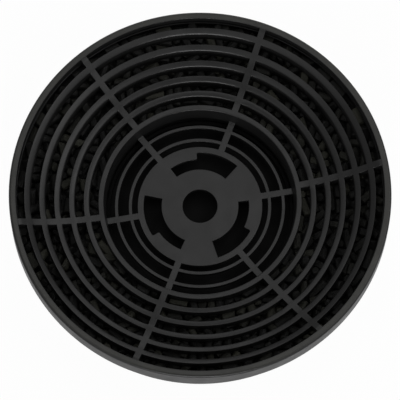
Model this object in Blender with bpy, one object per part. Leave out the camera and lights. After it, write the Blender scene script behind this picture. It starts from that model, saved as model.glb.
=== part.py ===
"""Round activated carbon filter for a cooker hood, with a bayonet hub.

It is three pieces: a front cover with a dished grille, a tub-shaped rear shell that nests in
the cover's skirt, and the bed of carbon pellets between them.

Units are metres. The origin is the middle of the flat room-side face and +Z points at the
hood's motor, so the bayonet hub faces up. Spoke 0 lies along +X.
"""

from math import asin, atan2, cos, pi, radians, sin, sqrt, tan
import random

import bmesh
import bpy
from mathutils import Matrix

# Overall size and the clearance between pieces that seat on each other
COVER_RADIUS = 0.0950
OVERALL_HEIGHT = 0.0350
CLEARANCE = 0.0003

# Cover rim: a skirt outside, a lip inside, and between them the channel for the shell's wall
RIM_ROUND = 0.0014
RIM_FLANGE = 0.0020
SKIRT_DEPTH = 0.0120
SKIRT_WALL = 0.0013
LIP_WALL = 0.0007
LIP_DEPTH = 0.0045
LIP_LEAN = 0.0008

# Snap bead on the shell and the groove for it inside the skirt
BEAD_BELOW_TOP = 0.0080
BEAD_HALF_WIDTH = 0.0010
BEAD_PROUD = 0.0003

# Dished grille: a flat middle, then an arc that rises to the rim. The ribs are spaced evenly from
# the first one inside the rim to the one that edges the recess, at about the stated pitch
RIM_GAP = 0.0038
RIM_TO_FIRST_RIB_DROP = 0.0035
RIB_PITCH = 0.0073
RIB_WIDTH = 0.0026
RIB_HEIGHT = 0.0024
RIB_DRAFT_SHARE = 0.45
DISH_FLAT_RADIUS = 0.0450
DISH_DEPTH = 0.012825

# Spokes sit a hair below the rib tops, so the ribs' edges run on round the dish
SPOKE_COUNT = 6
SPOKE_WIDTH = 0.00335
SPOKE_BELOW_RIB = 0.00015
SPOKE_DEEPER = 0.0003
SPOKE_LAND = 0.0004
SPOKE_BURIED = 0.0015
SPOKE_END_BELOW_RIM = 0.0008

# Recess in the middle of the dish, with two thin ribs round the hub
RECESS_DEPTH = 0.0083
RECESS_WALL = 0.0018
RECESS_WALL_LEAN = radians(7)
THIN_RIB_WIDTH = 0.0017
HUB_TO_THIN_RIB = 0.0028
THIN_RIB_GAP = 0.00528
THIN_RIB_TO_WALL = 0.0044
FOOT_FILLET = 0.0012
FOOT_BURIED = 0.0004
FOOT_STEPS = 2

# Bayonet hub
HUB_RADIUS = 0.0314
HUB_PLATE = 0.0024
HOLE_RADIUS = 0.0087
SLOT_COUNT = 3
SLOT_TO_HUB_EDGE = 0.0031
SLOT_STEP_WIDTH = 0.0037
SLOT_NARROW_WIDTH = 0.0052
SLOT_WIDE_END = radians(38.8)
SLOT_STEP = radians(83.5)
SLOT_NARROW_END = radians(117.1)
SLOT_STEP_FILLET = 0.0007

# Rear shell
SHELL_WALL = 0.0012
SHELL_DRAFT = radians(9)
SHELL_CORNER = 0.0040
SHELL_FLOOR = 0.0020
REAR_RIB_WIDTH = 0.0026
REAR_SPOKE_INSET = 0.0003
LOCATING_RING_WALL = 0.0018
LOCATING_RING_HEIGHT = 0.0030

# Carbon bed, whose pellets rise a little into the grille's openings and leave hollows between them
BED_CLEARANCE = 0.0005
PELLET_RISE = 0.0006
PELLET_HOLLOW = 0.0024
PELLET_SEED = 7

# Facets of round pieces; the spokes lie on facet corners, so this is a multiple of their number
SEGMENTS = 54
ARC_STEPS = 2
HOLE_SEGMENTS = 30
SLOT_ARC_STEP = radians(8)
CUTTER_REACH = 0.0030
SMOOTH_ANGLE = radians(35)

# Heights that the sizes above lead to
RIM_TOP = OVERALL_HEIGHT
SKIRT_BOTTOM = RIM_TOP - SKIRT_DEPTH
FIRST_RIB_TOP = RIM_TOP - RIM_TO_FIRST_RIB_DROP
BEAD_HEIGHT = RIM_TOP - BEAD_BELOW_TOP

# Radii that the sizes above lead to, from the rim inwards and from the hub outwards
SKIRT_INSIDE = COVER_RADIUS - SKIRT_WALL
SHELL_OUTSIDE = SKIRT_INSIDE - CLEARANCE
SHELL_INSIDE = SHELL_OUTSIDE - SHELL_WALL
LIP_OUTSIDE = SHELL_INSIDE - CLEARANCE
RIM_INSIDE = LIP_OUTSIDE - LIP_WALL
FIRST_RIB_RADIUS = RIM_INSIDE - RIM_GAP
SLOT_WIDE_RADIUS = HUB_RADIUS - SLOT_TO_HUB_EDGE
SLOT_NARROW_RADIUS = SLOT_WIDE_RADIUS - SLOT_STEP_WIDTH
SLOT_INNER_RADIUS = SLOT_NARROW_RADIUS - SLOT_NARROW_WIDTH
INNER_THIN_RIB_RADIUS = HUB_RADIUS + HUB_TO_THIN_RIB + THIN_RIB_WIDTH
OUTER_THIN_RIB_RADIUS = INNER_THIN_RIB_RADIUS + THIN_RIB_GAP + THIN_RIB_WIDTH
RECESS_INSIDE = OUTER_THIN_RIB_RADIUS + THIN_RIB_TO_WALL
RECESS_MOUTH = RECESS_INSIDE + RECESS_DEPTH * tan(RECESS_WALL_LEAN)
RECESS_RIB_RADIUS = RECESS_MOUTH + RIB_WIDTH

# The pattern of ribs and the dish's arc that they lead to
RIB_STEPS = max(1, round((FIRST_RIB_RADIUS - RECESS_RIB_RADIUS) / RIB_PITCH))
RIB_SPACING = (FIRST_RIB_RADIUS - RECESS_RIB_RADIUS) / RIB_STEPS
DISH_RUN = FIRST_RIB_RADIUS - DISH_FLAT_RADIUS
DISH_CURVE_RADIUS = (DISH_RUN ** 2 + DISH_DEPTH ** 2) / (2 * DISH_DEPTH)
DISH_FLOOR = FIRST_RIB_TOP - DISH_DEPTH


def dish_rise(radius):
    """How far the dish has risen above its flat middle at a radius."""
    if radius <= DISH_FLAT_RADIUS:
        return 0.0
    run = radius - DISH_FLAT_RADIUS
    return DISH_CURVE_RADIUS - sqrt(DISH_CURVE_RADIUS ** 2 - run ** 2)


def dish_slope(radius):
    """The dish's angle to the horizontal at a radius."""
    run = max(radius - DISH_FLAT_RADIUS, 0.0)
    return asin(run / DISH_CURVE_RADIUS)


def dish_height(radius):
    """Height of the grille's face at a radius."""
    return DISH_FLOOR + dish_rise(radius)


def rib_radius(index):
    """Outer radius of a dish rib, counted from the rim inwards."""
    return FIRST_RIB_RADIUS - index * RIB_SPACING


RECESS_TOP = dish_height(RECESS_RIB_RADIUS)
HUB_TOP = RECESS_TOP - RECESS_DEPTH


def recess_wall_radius(height):
    """Inner radius of the recess wall, which leans out above the hub and is upright below it."""
    return RECESS_INSIDE + max(height - HUB_TOP, 0.0) * tan(RECESS_WALL_LEAN)


def arc(centre_r, centre_z, radius, start, end, steps=ARC_STEPS):
    """Points of an arc in the radius and height plane, both ends included."""
    angles = [start + (end - start) * step / steps for step in range(steps + 1)]
    return [(centre_r + radius * cos(a), centre_z + radius * sin(a)) for a in angles]


def add_ring(mesh, outline):
    """Turn a closed outline of (radius, height) points about Z."""
    verts = [mesh.verts.new((radius, 0.0, height)) for radius, height in outline]
    edges = [mesh.edges.new(pair) for pair in zip(verts, verts[1:] + verts[:1])]
    bmesh.ops.spin(
        mesh,
        geom=verts + edges,
        cent=(0.0, 0.0, 0.0),
        axis=(0.0, 0.0, 1.0),
        angle=2 * pi,
        steps=SEGMENTS,
        use_merge=True,
    )


def add_disc(mesh, radius, bottom, top, segments=SEGMENTS):
    """A flat round plate or plug."""
    bmesh.ops.create_cone(
        mesh,
        cap_ends=True,
        segments=segments,
        radius1=radius,
        radius2=radius,
        depth=top - bottom,
        matrix=Matrix.Rotation(pi / 2, 4, "Z") @ Matrix.Translation((0.0, 0.0, (top + bottom) / 2)),
    )


def add_prism(mesh, corners, sweep, angle=0.0):
    """Sweep a flat outline of points along a vector, then turn it about Z."""
    face = mesh.faces.new([mesh.verts.new(corner) for corner in corners])
    swept = bmesh.ops.extrude_face_region(mesh, geom=[face])["geom"]
    moved = [item for item in swept if isinstance(item, bmesh.types.BMVert)]
    bmesh.ops.translate(mesh, verts=moved, vec=sweep)
    bmesh.ops.rotate(
        mesh,
        verts=moved + list(face.verts),
        cent=(0.0, 0.0, 0.0),
        matrix=Matrix.Rotation(angle, 3, "Z"),
    )
    return moved + list(face.verts)


def add_spokes(mesh, outline):
    """One bar for each spoke, from its side outline of (radius, height) points."""
    for index in range(SPOKE_COUNT):
        corners = [(radius, -SPOKE_WIDTH / 2, height) for radius, height in outline]
        add_prism(mesh, corners, (0.0, SPOKE_WIDTH, 0.0), index * 2 * pi / SPOKE_COUNT)


def make_object(name, mesh, material=None):
    """Turn a bmesh of closed shells into an object with outward faces."""
    bmesh.ops.recalc_face_normals(mesh, faces=mesh.faces)
    data = bpy.data.meshes.new(name)
    mesh.to_mesh(data)
    mesh.free()
    made = bpy.data.objects.new(name, data)
    bpy.context.collection.objects.link(made)
    if material:
        data.materials.append(material)
        data.shade_smooth()
        data.set_sharp_from_angle(angle=SMOOTH_ANGLE)
    return made


def make_cutter(name, mesh):
    """A helper solid that only shapes another one."""
    helper = make_object(name, mesh)
    helper.hide_render = True
    helper.display_type = "WIRE"
    return helper


def add_boolean(target, helper, operation):
    """Join a helper to a piece, or cut it out."""
    modifier = target.modifiers.new(helper.name, "BOOLEAN")
    modifier.operation = operation
    modifier.solver = "EXACT"
    modifier.object = helper


def plastic(name, shade, roughness):
    """Black moulded plastic or carbon, as a neutral shade of grey."""
    material = bpy.data.materials.new(name)
    material.use_nodes = True
    shader = material.node_tree.nodes["Principled BSDF"]
    shader.inputs["Base Color"].default_value = (shade, shade, shade, 1.0)
    shader.inputs["Roughness"].default_value = roughness
    shader.inputs["Metallic"].default_value = 0.0
    return material


def rim_outline():
    """Section of the rim: rounded outside, with skirt, channel, snap groove and leaning lip."""
    corner = arc(COVER_RADIUS - RIM_ROUND, RIM_TOP - RIM_ROUND, RIM_ROUND, 0.0, pi / 2)
    return corner + [
        (RIM_INSIDE, RIM_TOP),
        (RIM_INSIDE - LIP_LEAN, RIM_TOP - LIP_DEPTH),
        (LIP_OUTSIDE, RIM_TOP - LIP_DEPTH),
        (LIP_OUTSIDE, RIM_TOP - RIM_FLANGE),
        (SKIRT_INSIDE, RIM_TOP - RIM_FLANGE),
        (SKIRT_INSIDE, BEAD_HEIGHT + BEAD_HALF_WIDTH),
        (SKIRT_INSIDE + BEAD_PROUD, BEAD_HEIGHT),
        (SKIRT_INSIDE, BEAD_HEIGHT - BEAD_HALF_WIDTH),
        (SKIRT_INSIDE, SKIRT_BOTTOM),
        (COVER_RADIUS, SKIRT_BOTTOM),
    ]


def rib_outline(index):
    """Section of a dish rib: a level top and an inner side that leans as the dish does."""
    outer = rib_radius(index)
    inner = outer - RIB_WIDTH
    top = dish_height(outer)
    draft = RIB_HEIGHT * tan(RIB_DRAFT_SHARE * dish_slope(outer))
    return [
        (outer, top),
        (inner, top),
        (inner - draft, top - RIB_HEIGHT),
        (outer, top - RIB_HEIGHT),
    ]


def recess_wall_outline():
    """Section of the innermost dish rib with the recess wall and its tube down to the floor."""
    rib_bottom = RECESS_TOP - RIB_HEIGHT
    tube_bottom = SHELL_FLOOR + CLEARANCE
    return [
        (RECESS_RIB_RADIUS, RECESS_TOP),
        (RECESS_MOUTH, RECESS_TOP),
        (RECESS_INSIDE, HUB_TOP),
        (RECESS_INSIDE, tube_bottom),
        (RECESS_INSIDE + RECESS_WALL, tube_bottom),
        (RECESS_INSIDE + RECESS_WALL, HUB_TOP),
        (recess_wall_radius(rib_bottom) + RECESS_WALL, rib_bottom),
        (RECESS_RIB_RADIUS, rib_bottom),
    ]


def thin_rib_outline(outer):
    """Section of a thin rib at the hub's level."""
    inner = outer - THIN_RIB_WIDTH
    bottom = HUB_TOP - HUB_PLATE
    return [(outer, HUB_TOP), (inner, HUB_TOP), (inner, bottom), (outer, bottom)]


def grille_stations():
    """Level lands of the grille's face, one over each rib, as (radius, height) from the rim in."""
    stations = []
    for index in range(RIB_STEPS + 1):
        outer = rib_radius(index)
        top = dish_height(outer)
        stations.append((outer + SPOKE_LAND, top))
        stations.append((outer - RIB_WIDTH - SPOKE_LAND, top))
    return stations


def lowered(points, drop):
    """The same points, lower down."""
    return [(radius, height - drop) for radius, height in points]


def thick_line(points, thickness):
    """Closed outline of a band that hangs below a line of points."""
    return points + lowered(points[::-1], thickness)


def dish_spoke_outline():
    """Side outline of a spoke in the dish, from inside the rim's lip to inside the recess wall."""
    rim_end = (RIM_INSIDE + LIP_OUTSIDE) / 2
    wall_end = RECESS_MOUTH + RECESS_WALL / 2
    lands = [point for point in grille_stations() if point[0] > wall_end]
    line = [(rim_end, RIM_TOP - SPOKE_END_BELOW_RIM)] + lands + [(wall_end, RECESS_TOP)]
    return thick_line(lowered(line, SPOKE_BELOW_RIB), RIB_HEIGHT + SPOKE_DEEPER)


def hub_spoke_outline():
    """Side outline of a spoke in the recess, with a fillet where its foot meets the wall."""
    wall_end = RECESS_INSIDE + RECESS_WALL / 2
    hub_end = HUB_RADIUS - SPOKE_BURIED
    fillet = arc(
        RECESS_INSIDE + FOOT_BURIED - FOOT_FILLET,
        HUB_TOP + FOOT_FILLET,
        FOOT_FILLET,
        0.0,
        -pi / 2,
        FOOT_STEPS,
    )
    line = [(wall_end, HUB_TOP + FOOT_FILLET)] + fillet + [(hub_end, HUB_TOP)]
    bottom = HUB_TOP - HUB_PLATE - SPOKE_DEEPER
    return lowered(line, SPOKE_BELOW_RIB) + [(hub_end, bottom), (wall_end, bottom)]


def polar(radius, angle, height):
    """A point given by its radius, angle and height."""
    return (radius * cos(angle), radius * sin(angle), height)


def slot_corners(height):
    """Plan of one keyhole-shaped bayonet slot: a wide way in, then a narrow run."""
    runs = [
        (SLOT_INNER_RADIUS, SLOT_WIDE_END, SLOT_NARROW_END),
        (SLOT_NARROW_RADIUS, SLOT_NARROW_END, SLOT_STEP),
        (SLOT_WIDE_RADIUS, SLOT_STEP, SLOT_WIDE_END),
    ]
    corners = []
    for radius, start, end in runs:
        steps = max(1, round(abs(end - start) / SLOT_ARC_STEP))
        corners += [polar(radius, start + (end - start) * k / steps, height) for k in range(steps + 1)]
    return corners


def step_edges(verts):
    """The two upright edges at a slot's step, which are rounded."""
    found = []
    for vert in verts:
        for edge in vert.link_edges:
            upright = abs(edge.verts[0].co.z - edge.verts[1].co.z) > HUB_PLATE
            for radius in (SLOT_NARROW_RADIUS, SLOT_WIDE_RADIUS):
                corner = polar(radius, SLOT_STEP, vert.co.z)
                near = (vert.co.x - corner[0]) ** 2 + (vert.co.y - corner[1]) ** 2 < CLEARANCE ** 2
                if upright and near and edge not in found:
                    found.append(edge)
    return found


def make_hub_cutter():
    """Centre hole and three bayonet slots."""
    mesh = bmesh.new()
    bottom = HUB_TOP - HUB_PLATE - CUTTER_REACH
    top = HUB_TOP + CUTTER_REACH
    add_disc(mesh, HOLE_RADIUS, bottom, top, HOLE_SEGMENTS)
    for index in range(SLOT_COUNT):
        verts = add_prism(mesh, slot_corners(bottom), (0.0, 0.0, top - bottom))
        rounded = bmesh.ops.bevel(
            mesh,
            geom=step_edges(verts),
            affect="EDGES",
            offset=SLOT_STEP_FILLET,
            segments=2,
            profile=0.5,
            material=-1,
        )
        whole = {vert for vert in verts if vert.is_valid} | set(rounded["verts"])
        bmesh.ops.rotate(
            mesh,
            verts=list(whole),
            cent=(0.0, 0.0, 0.0),
            matrix=Matrix.Rotation(index * 2 * pi / SLOT_COUNT, 3, "Z"),
        )
    return make_cutter("hub_openings", mesh)


def make_front_cover(material):
    """The mounting-side moulding: rim, grille, recess wall and hub, tied by its spokes."""
    rings = bmesh.new()
    add_ring(rings, rim_outline())
    for index in range(RIB_STEPS):
        add_ring(rings, rib_outline(index))
    add_ring(rings, recess_wall_outline())
    add_ring(rings, thin_rib_outline(OUTER_THIN_RIB_RADIUS))
    add_ring(rings, thin_rib_outline(INNER_THIN_RIB_RADIUS))
    add_disc(rings, HUB_RADIUS, HUB_TOP - HUB_PLATE, HUB_TOP)
    cover = make_object("front_cover", rings, material)

    spokes = bmesh.new()
    add_spokes(spokes, dish_spoke_outline())
    add_spokes(spokes, hub_spoke_outline())
    add_boolean(cover, make_cutter("front_spokes", spokes), "UNION")
    add_boolean(cover, make_hub_cutter(), "DIFFERENCE")
    return cover


def shell_corner(wall_radius, floor_height, radius):
    """Arc between the floor and the drafted wall, from the floor up."""
    centre_z = floor_height + radius
    centre_r = wall_radius + centre_z * tan(SHELL_DRAFT) - radius / cos(SHELL_DRAFT)
    return arc(centre_r, centre_z, radius, -pi / 2, -SHELL_DRAFT)


def shell_outline():
    """Section of the tub: floor edge, drafted wall, and the upright wall inside the skirt."""
    floor_outside = SHELL_OUTSIDE - SKIRT_BOTTOM * tan(SHELL_DRAFT)
    floor_inside = floor_outside - SHELL_WALL / cos(SHELL_DRAFT)
    wall_top = RIM_TOP - RIM_FLANGE - CLEARANCE
    land = window_inner_radius(0)
    outside = shell_corner(floor_outside, 0.0, SHELL_CORNER)
    inside = shell_corner(floor_inside, SHELL_FLOOR, SHELL_CORNER - SHELL_WALL)
    return [(land, 0.0)] + outside + [
        (SHELL_OUTSIDE, SKIRT_BOTTOM),
        (SHELL_OUTSIDE, BEAD_HEIGHT - BEAD_HALF_WIDTH),
        (SHELL_OUTSIDE + BEAD_PROUD, BEAD_HEIGHT),
        (SHELL_OUTSIDE, BEAD_HEIGHT + BEAD_HALF_WIDTH),
        (SHELL_OUTSIDE, wall_top),
        (SHELL_INSIDE, wall_top),
        (SHELL_INSIDE, SKIRT_BOTTOM),
    ] + inside[::-1] + [(land, SHELL_FLOOR)]


def window_inner_radius(index):
    """Radius where the floor's land, or the rib before it, ends and a window starts."""
    return rib_radius(index) - REAR_RIB_WIDTH


def shell_inner_radius(height):
    """Inner radius of the tub's wall at a height."""
    lower = max(SKIRT_BOTTOM - height, 0.0)
    return SHELL_INSIDE - lower * tan(SHELL_DRAFT)


def make_rear_shell(material):
    """The room-side moulding: tub wall, floor grille, closed centre disc and locating ring."""
    rings = bmesh.new()
    add_ring(rings, shell_outline())
    for index in range(1, RIB_STEPS):
        outer = rib_radius(index)
        inner = window_inner_radius(index)
        add_ring(rings, [(outer, SHELL_FLOOR), (inner, SHELL_FLOOR), (inner, 0.0), (outer, 0.0)])
    add_disc(rings, RECESS_RIB_RADIUS, 0.0, SHELL_FLOOR)
    shell = make_object("rear_shell", rings, material)

    bars = bmesh.new()
    inner_end = RECESS_RIB_RADIUS - SPOKE_BURIED
    outer_end = window_inner_radius(0) + SPOKE_BURIED
    low = REAR_SPOKE_INSET
    high = SHELL_FLOOR - REAR_SPOKE_INSET
    add_spokes(bars, [(inner_end, low), (outer_end, low), (outer_end, high), (inner_end, high)])
    ring_outer = RECESS_INSIDE - CLEARANCE
    ring_inner = ring_outer - LOCATING_RING_WALL
    ring_top = SHELL_FLOOR + LOCATING_RING_HEIGHT
    ring_root = SHELL_FLOOR / 2
    add_ring(bars, [
        (ring_outer, ring_top),
        (ring_inner, ring_top),
        (ring_inner, ring_root),
        (ring_outer, ring_root),
    ])
    add_boolean(shell, make_cutter("rear_spokes_and_ring", bars), "UNION")
    return shell


def bed_outline():
    """Section of the carbon bed, clear of both mouldings by the seating clearance."""
    under_grille = SPOKE_BELOW_RIB + RIB_HEIGHT + SPOKE_DEEPER + BED_CLEARANCE
    under_ribs = lowered(grille_stations(), under_grille)
    bed_floor = SHELL_FLOOR + BED_CLEARANCE
    bed_top = under_ribs[0][1]
    last = under_ribs[-1][1]
    wall_gap = RECESS_WALL + CLEARANCE
    inside = [
        (recess_wall_radius(last) + wall_gap, last),
        (RECESS_INSIDE + wall_gap, HUB_TOP),
        (RECESS_INSIDE + wall_gap, bed_floor),
    ]
    bottom = [(rib_radius(k) + SPOKE_LAND, bed_floor) for k in range(RIB_STEPS, 0, -1)]
    outside = [
        (shell_inner_radius(bed_floor + SHELL_CORNER) - SHELL_CORNER, bed_floor),
        (shell_inner_radius(bed_floor + SHELL_CORNER) - CLEARANCE, bed_floor + SHELL_CORNER),
        (SHELL_INSIDE - CLEARANCE, SKIRT_BOTTOM),
        (SHELL_INSIDE - CLEARANCE, bed_top),
    ]
    kept = [point for point in under_ribs if point[0] > inside[0][0] + SPOKE_LAND]
    return kept + inside + bottom + outside


def in_opening(point):
    """Whether a point of the bed lies under an opening of the dish, away from its spokes."""
    step = (FIRST_RIB_RADIUS - point.xy.length) / RIB_SPACING % 1.0
    turn = atan2(point.y, point.x) % (2 * pi / SPOKE_COUNT)
    facet = 2 * pi / SEGMENTS
    return step > RIB_WIDTH / RIB_SPACING and facet < turn < 2 * pi / SPOKE_COUNT - facet


def make_carbon_bed(material):
    """The charge of pellets as one body, uneven on the two faces that lie against the grilles."""
    mesh = bmesh.new()
    add_ring(mesh, bed_outline())
    bmesh.ops.recalc_face_normals(mesh, faces=mesh.faces)
    chance = random.Random(PELLET_SEED)
    open_faces = [face for face in mesh.faces if abs(face.normal.z) > cos(pi / 3)]
    points = bmesh.ops.poke(mesh, faces=open_faces, offset=0.0)["verts"]
    mesh.normal_update()
    for point in points:
        outward = 1.0 if point.link_faces[0].normal.z > 0 else -1.0
        rises = outward > 0 and in_opening(point.co)
        highest = PELLET_RISE if rises else 0.0
        point.co.z += outward * chance.uniform(-PELLET_HOLLOW, highest)
    return make_object("carbon_bed", mesh, material)


def main():
    """Build the whole filter in an empty scene."""
    for old in list(bpy.data.objects):
        bpy.data.objects.remove(old, do_unlink=True)
    make_front_cover(plastic("cover_plastic", 0.030, 0.45))
    make_rear_shell(plastic("shell_plastic", 0.028, 0.50))
    make_carbon_bed(plastic("activated_carbon", 0.016, 0.75))


main()
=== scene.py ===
# %% [markdown]
# # A carbon filter for a cooker hood
#
# The filter is a round, black, plastic cage full of carbon pellets. Two mouldings make the cage: a
# dished grille that snaps over a shallow tub. This lesson models the mouldings with bmesh, pours
# the pellets with a small settling loop, and lights the lot as a catalogue photograph would be.
#
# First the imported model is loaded. It gives every size, so the new pieces are built in its frame:
# metres, the filter lying on its room side, and +Z coming out of the hub.

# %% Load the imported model
from math import asin, atan2, cos, degrees, hypot, pi, radians, sin, tan

import bmesh
import bpy
import numpy as np
from mathutils import Matrix, Vector
from mathutils.kdtree import KDTree


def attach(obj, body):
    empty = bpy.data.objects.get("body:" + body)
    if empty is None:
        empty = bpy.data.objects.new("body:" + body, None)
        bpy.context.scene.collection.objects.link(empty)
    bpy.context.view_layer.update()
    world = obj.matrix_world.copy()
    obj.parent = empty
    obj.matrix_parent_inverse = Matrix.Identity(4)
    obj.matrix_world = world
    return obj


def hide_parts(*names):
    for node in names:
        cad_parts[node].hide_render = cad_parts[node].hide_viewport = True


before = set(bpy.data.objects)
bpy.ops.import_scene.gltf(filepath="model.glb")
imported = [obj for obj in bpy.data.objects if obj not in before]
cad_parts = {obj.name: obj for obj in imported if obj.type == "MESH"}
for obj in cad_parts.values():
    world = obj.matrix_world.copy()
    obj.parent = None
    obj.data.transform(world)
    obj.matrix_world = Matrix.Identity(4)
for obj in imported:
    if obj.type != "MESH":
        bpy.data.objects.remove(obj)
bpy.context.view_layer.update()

# %% [markdown]
# ## The camera
#
# The picture was taken from far away and from almost straight above, so the round rim stays nearly
# round. A long lens far back gives that look; a short lens close up would swell the near side. The
# camera is turned about its own line of sight so that the spokes point the way they do in the
# picture.

# %% Camera
MM = 0.001
FIRST_RIB_HEIGHT = 31.5 * MM
CAMERA_TILT = radians(17.31)
CAMERA_LEAN = radians(-0.76)
SPOKE_TURN = radians(9.78)
CAMERA_DISTANCE = 1.6572
CAMERA_LENS = 300.15
AIM_OFFSET = Vector((0.07 * MM, 3.16 * MM))


def place_camera():
    """A long lens that looks down on the dish, with the spokes turned as in the picture."""
    camera_data = bpy.data.cameras.new("camera")
    camera_data.lens = CAMERA_LENS
    camera_data.sensor_width = 36.0
    camera_data.clip_end = 20.0
    camera = bpy.data.objects.new("camera", camera_data)
    bpy.context.scene.collection.objects.link(camera)
    up = Vector((0.0, 0.0, 1.0))
    facing = Vector((
        -sin(CAMERA_TILT) * sin(CAMERA_LEAN),
        sin(CAMERA_TILT) * cos(CAMERA_LEAN),
        cos(CAMERA_TILT),
    ))
    tilt = up.rotation_difference(facing).to_matrix()
    into_view = tilt @ Matrix.Rotation(SPOKE_TURN, 3, "Z")
    out_of_view = into_view.transposed()
    seen_point = Vector((*AIM_OFFSET, -CAMERA_DISTANCE))
    place = Vector((0.0, 0.0, FIRST_RIB_HEIGHT)) - out_of_view @ seen_point
    camera.matrix_world = Matrix.Translation(place) @ out_of_view.to_4x4()
    bpy.context.scene.camera = camera


place_camera()
print("camera stands at", [round(v, 3) for v in bpy.context.scene.camera.matrix_world.translation])

# %% [markdown]
# ## Helpers for meshes
#
# A moulding with rings and spokes could be made from many overlapping rings and bars, but their
# joints would show. Here a line of points is spun into a round grid instead, the openings are
# deleted from it, and the sheet that is left is extruded to its thickness. Rings and spokes are
# then one skin, and one bevel rounds every edge, as a mould does.
#
# Simple turned parts, such as the rim, are a closed outline spun about the axis.

# %% Helpers for turned shapes
WELD = 1e-6
JOINED_SMOOTH_ANGLE = 52.0


def finish_mesh(mesh, name, smooth_angle=35.0):
    """Turn a bmesh into a linked object with outward faces and smooth shading."""
    bmesh.ops.remove_doubles(mesh, verts=mesh.verts, dist=WELD)
    bmesh.ops.recalc_face_normals(mesh, faces=mesh.faces)
    data = bpy.data.meshes.new(name)
    mesh.to_mesh(data)
    mesh.free()
    data.shade_smooth()
    data.set_sharp_from_angle(angle=radians(smooth_angle))
    piece = bpy.data.objects.new(name, data)
    bpy.context.scene.collection.objects.link(piece)
    return piece


def spin_line(mesh, points, closed, steps):
    """Turn a line of (radius, height) points once round Z."""
    verts = [mesh.verts.new((radius, 0.0, height)) for radius, height in points]
    ends = verts[1:] + verts[:1] if closed else verts[1:]
    edges = [mesh.edges.new(pair) for pair in zip(verts, ends)]
    bmesh.ops.spin(
        mesh,
        geom=verts + edges,
        cent=(0.0, 0.0, 0.0),
        axis=(0.0, 0.0, 1.0),
        angle=2 * pi,
        steps=steps,
        use_merge=True,
    )


def arc(centre_r, centre_z, radius, start, end, steps):
    """Points of an arc in the radius and height plane, both ends included, angles in degrees."""
    turns = [radians(start + (end - start) * k / steps) for k in range(steps + 1)]
    return [(centre_r + radius * cos(a), centre_z + radius * sin(a)) for a in turns]


def apply_modifiers(piece):
    """Keep what the modifiers make as the piece's own mesh."""
    evaluated = piece.evaluated_get(bpy.context.evaluated_depsgraph_get())
    finished = bpy.data.meshes.new_from_object(evaluated)
    piece.modifiers.clear()
    piece.data = finished


def join_solids(target, *others):
    """Join closed solids into one skin with exact Booleans, and shade its large faces flat."""
    for other in others:
        union = target.modifiers.new("join", "BOOLEAN")
        union.operation = "UNION"
        union.solver = "EXACT"
        union.object = other
    apply_modifiers(target)
    for other in others:
        bpy.data.objects.remove(other, do_unlink=True)
    target.data.shade_smooth()
    target.data.set_sharp_from_angle(angle=radians(JOINED_SMOOTH_ANGLE))
    weights = target.modifiers.new("flat_faces", "WEIGHTED_NORMAL")
    weights.keep_sharp = True
    weights.weight = 100
    apply_modifiers(target)
    return target


# %% Helpers for round grids
def ring_of(radius, radii):
    """Index of the ring that a radius lies nearest to."""
    return min(range(len(radii)), key=lambda k: abs(radii[k] - radius))


class RoundGrid:
    """A flat sheet of rings and columns about Z that is cut open and then bent into shape."""

    def __init__(self, radii, columns):
        self.radii = radii
        self.columns = columns
        self.step = 2 * pi / columns
        self.mesh = bmesh.new()
        spin_line(self.mesh, [(radius, 0.0) for radius in radii], False, columns)
        if radii[-1] == 0.0:
            bmesh.ops.remove_doubles(self.mesh, verts=self.mesh.verts, dist=WELD)

    def cell(self, face):
        """The (gap between rings, column) that a face fills, rings counted from the outside."""
        middle = face.calc_center_median()
        radius = hypot(middle.x, middle.y)
        column = int(atan2(middle.y, middle.x) % (2 * pi) / self.step)
        gap = max(k for k in range(len(self.radii) - 1) if self.radii[k] > radius)
        return gap, column

    def cut(self, is_open):
        """Delete the faces whose cell is open."""
        faces = [face for face in self.mesh.faces if is_open(*self.cell(face))]
        bmesh.ops.delete(self.mesh, geom=faces, context="FACES")

    def bend(self, angle_of, height_of):
        """Move each point to its column's true angle and its ring's height."""
        for vert in self.mesh.verts:
            radius = self.radii[ring_of(hypot(vert.co.x, vert.co.y), self.radii)]
            column = round(atan2(vert.co.y, vert.co.x) / self.step) % self.columns
            turn = angle_of(column, radius)
            vert.co = (radius * cos(turn), radius * sin(turn), height_of(radius))

    def thicken(self, depth):
        """Extrude the sheet down and return its outlines at the top and the new points below."""
        outlines = [edge for edge in self.mesh.edges if edge.is_boundary]
        swept = bmesh.ops.extrude_face_region(self.mesh, geom=self.mesh.faces[:])["geom"]
        below = [item for item in swept if isinstance(item, bmesh.types.BMVert)]
        bmesh.ops.translate(self.mesh, verts=below, vec=(0.0, 0.0, -depth))
        bmesh.ops.recalc_face_normals(self.mesh, faces=self.mesh.faces)
        return outlines, below


def round_edges(mesh, edges, radius, segments=2):
    """Round the given edges, as the corners of a mould are."""
    bmesh.ops.bevel(
        mesh,
        geom=edges,
        affect="EDGES",
        offset=radius,
        offset_type="OFFSET",
        segments=segments,
        profile=0.5,
        material=-1,
        clamp_overlap=True,
    )


# %% [markdown]
# ## The dish's curve
#
# The grille is flat in the middle and rises to the rim along an arc. The ribs are deep fins whose
# tops follow that arc, and the spokes are as deep and flush with them, so the light runs over both
# as over one face.

# %% Sizes of the dish
RIM_TOP = 35.0 * MM
RIM_INSIDE = 91.5 * MM
RIB_COUNT = 6
FIRST_RIB = 87.4 * MM
RIB_SPACING = 7.3 * MM
RIB_WIDTH = 2.9 * MM
RIB_HEIGHT = 6.2 * MM
DISH_FLAT = 45.0 * MM
DISH_DEPTH = 12.825 * MM
DISH_RUN = FIRST_RIB - DISH_FLAT
DISH_CURVE = (DISH_RUN ** 2 + DISH_DEPTH ** 2) / (2 * DISH_DEPTH)
DISH_FLOOR = FIRST_RIB_HEIGHT - DISH_DEPTH
HIGHEST_FACE = RIM_TOP - 0.8 * MM
RECESS_DEPTH = 8.3 * MM


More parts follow.
